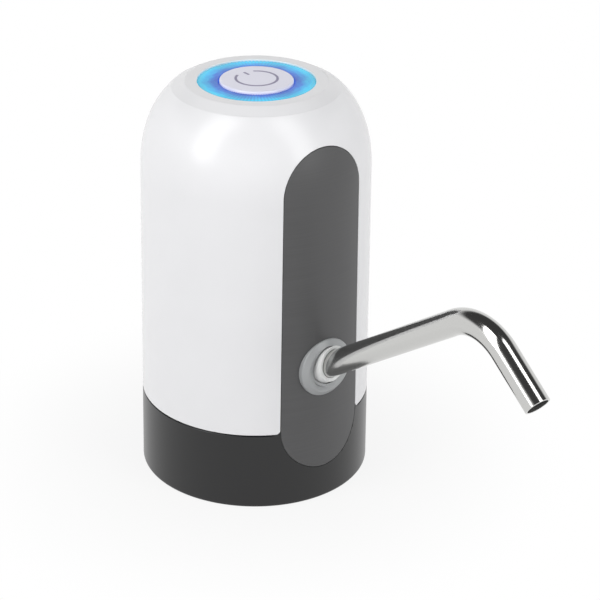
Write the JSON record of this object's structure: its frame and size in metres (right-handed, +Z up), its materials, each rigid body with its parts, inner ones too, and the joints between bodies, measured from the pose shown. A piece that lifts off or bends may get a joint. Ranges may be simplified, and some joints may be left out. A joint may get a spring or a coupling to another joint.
{
  "type": "bottled water pump",
  "caption": "Rechargeable electric pump that stands on the neck of a water bottle, with a push button in a lit ring on top and a bent steel spout that turns and pulls out.",
  "frame": {"origin": "on the body's axis at the level of the foot, in the mouth of the bottle neck socket", "axes": "+Z up; the spout and the front strip face -Y; +X is on the right as the front is seen"},
  "size_m": [0.0744, 0.1707, 0.1326],
  "materials": {
    "white_abs": "gloss",
    "black_abs": "gloss",
    "grey_strip": "satin",
    "grey_abs": "satin",
    "blue_lens": "gloss",
    "pearl_abs": "gloss",
    "pale_silicone": "satin",
    "spout_steel": "polished",
    "plain_steel": "satin",
    "zinc": "satin",
    "black_rubber": "matte",
    "green_board": "satin",
    "black_plastic": "satin",
    "red_pvc": "satin",
    "acetal": "satin",
    "ferrite": "matte",
    "copper": "satin",
    "bronze": "satin",
    "cell_sleeve": "gloss",
    "lamp_white": "satin"
  },
  "bodies": {
    "pump_body": {"outer_shell": "white_abs", "top_cap": "white_abs", "base": "black_abs", "front_panel": "grey_strip", "spout_collar": "grey_abs", "light_ring": "blue_lens", "outlet_tube": "pale_silicone", "inlet_tube": "pale_silicone", "idler_axle": "plain_steel", "button_spring": "plain_steel", "usb_socket": "plain_steel", "motor_can": "zinc", "base_screw_1": "zinc", "base_screw_2": "zinc", "base_screw_3": "zinc", "board_screw_1": "zinc", "board_screw_2": "zinc", "board_screw_3": "zinc", "pump_screw_1": "zinc", "pump_screw_2": "zinc", "pump_screw_3": "zinc", "pump_screw_4": "zinc", "pump_foot_screw_1": "zinc", "pump_foot_screw_2": "zinc", "neck_gasket": "black_rubber", "shaft_seal": "black_rubber", "main_board": "green_board", "charge_board": "green_board", "tact_switch": "black_plastic", "spout_socket": "black_plastic", "pump_cover": "black_plastic", "pump_housing": "black_plastic", "motor_end_cap": "black_plastic", "battery_tie": "black_plastic", "motor_lead_black": "black_plastic", "battery_lead_black": "black_plastic", "charge_cable": "black_plastic", "motor_lead_red": "red_pvc", "battery_lead_red": "red_pvc", "chassis_tray": "acetal", "suction_nipple": "acetal", "magnet_1": "ferrite", "magnet_2": "ferrite", "front_bearing": "bronze", "rear_bearing": "bronze", "battery_cell": "cell_sleeve", "led_1": "lamp_white", "led_2": "lamp_white", "led_3": "lamp_white", "led_4": "lamp_white", "led_5": "lamp_white", "led_6": "lamp_white"},
    "button": {"power_button": "pearl_abs", "switch_plunger": "black_plastic"},
    "spout_sleeve": {"spout_sleeve": "pale_silicone"},
    "spout": {"spout_pipe": "spout_steel"},
    "rotor": {"motor_shaft": "plain_steel", "armature": "copper", "drive_gear": "acetal"},
    "idler": {"idler_gear": "acetal"}
  },
  "joints": [
    {"name": "button_press", "type": "slide", "parent": "pump_body", "child": "button", "axis": [0, 0, -1], "range_m": [0, 0.0008], "stiffness_N_per_m": 400, "springref_m": -0.002, "deforming": ["button_spring"]},
    {"name": "spout_plug", "type": "slide", "parent": "pump_body", "child": "spout_sleeve", "axis": [0, -0.83, 0.5577], "range_m": [0, 0.016]},
    {"name": "spout_turn", "type": "hinge", "parent": "spout_sleeve", "child": "spout", "pos_m": [0, -0.03689, 0.0474], "axis": [0, -0.83, 0.5577], "continuous": true},
    {"name": "rotor_spin", "type": "hinge", "parent": "pump_body", "child": "rotor", "pos_m": [0.004, -0.005, 0.0566], "axis": [0, 0, 1], "continuous": true},
    {"name": "idler_spin", "type": "hinge", "parent": "pump_body", "child": "idler", "pos_m": [-0.004, -0.005, 0.0566], "axis": [0, 0, 1], "continuous": true}
  ],
  "couplings": [
    {"joint": "idler_spin", "follows": "rotor_spin", "ratio": -1}
  ]
}
